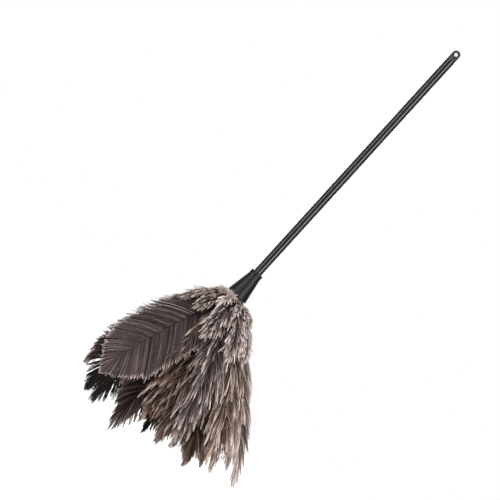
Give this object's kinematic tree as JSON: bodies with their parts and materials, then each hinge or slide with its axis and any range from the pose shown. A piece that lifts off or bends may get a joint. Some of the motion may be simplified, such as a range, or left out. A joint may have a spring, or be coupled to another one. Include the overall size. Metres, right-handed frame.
{
  "type": "feather duster",
  "caption": "Hand-held feather duster: slim black tube handle, conical ferrule and a full drooping head of grey-brown ostrich plumes.",
  "frame": {"origin": "on the handle's axis, halfway along the bare tube between the ferrule's collar and the tube's far end", "axes": "+Z along the handle, away from the feathers; +X to the side that the feather head droops towards; +Y completes a right-handed frame, and the object is alike on both sides of the XZ plane"},
  "size_m": [0.1346, 0.1376, 0.3496],
  "materials": {
    "handle_black": "satin gloss",
    "plug_black": "satin",
    "ferrule_black": "satin, fine moulded grain",
    "binding_thread": "waxed cotton",
    "hot_glue": "waxy",
    "cuff_feather": "soft down",
    "cover_feather": "soft barbs",
    "outer_feather": "soft barbs",
    "long_feather": "soft barbs",
    "core_feather": "soft barbs"
  },
  "bodies": {
    "root": {"core_glue": "hot_glue", "core_plume_01": "core_feather", "core_plume_02": "core_feather", "core_plume_03": "core_feather", "cover_plume_01": "cover_feather", "cover_plume_02": "cover_feather", "cover_plume_03": "cover_feather", "cover_plume_04": "cover_feather", "cover_plume_05": "cover_feather", "cover_plume_06": "cover_feather", "cover_plume_07": "cover_feather", "cover_plume_08": "cover_feather", "cover_plume_09": "cover_feather", "cover_plume_10": "cover_feather", "cover_plume_11": "cover_feather", "cover_plume_12": "cover_feather", "cuff_plume_01": "cuff_feather", "cuff_plume_02": "cuff_feather", "cuff_plume_03": "cuff_feather", "cuff_plume_04": "cuff_feather", "cuff_plume_05": "cuff_feather", "cuff_plume_06": "cuff_feather", "cuff_plume_07": "cuff_feather", "cuff_plume_08": "cuff_feather", "cuff_plume_09": "cuff_feather", "cuff_plume_10": "cuff_feather", "cuff_plume_11": "cuff_feather", "cuff_plume_12": "cuff_feather", "end_plug": "plug_black", "ferrule": "ferrule_black", "glue_bead": "hot_glue", "handle_tube": "handle_black", "inner_winding": "binding_thread", "long_plume_01": "long_feather", "long_plume_02": "long_feather", "long_plume_03": "long_feather", "long_plume_04": "long_feather", "long_plume_05": "long_feather", "long_plume_06": "long_feather", "long_plume_07": "long_feather", "long_plume_08": "long_feather", "long_plume_09": "long_feather", "outer_plume_01": "outer_feather", "outer_plume_02": "outer_feather", "outer_plume_03": "outer_feather", "outer_plume_04": "outer_feather", "outer_plume_05": "outer_feather", "outer_plume_06": "outer_feather", "outer_plume_07": "outer_feather", "outer_plume_08": "outer_feather", "outer_plume_09": "outer_feather", "outer_plume_10": "outer_feather", "outer_plume_11": "outer_feather", "outer_plume_12": "outer_feather", "outer_winding": "binding_thread"}
  },
  "joints": []
}
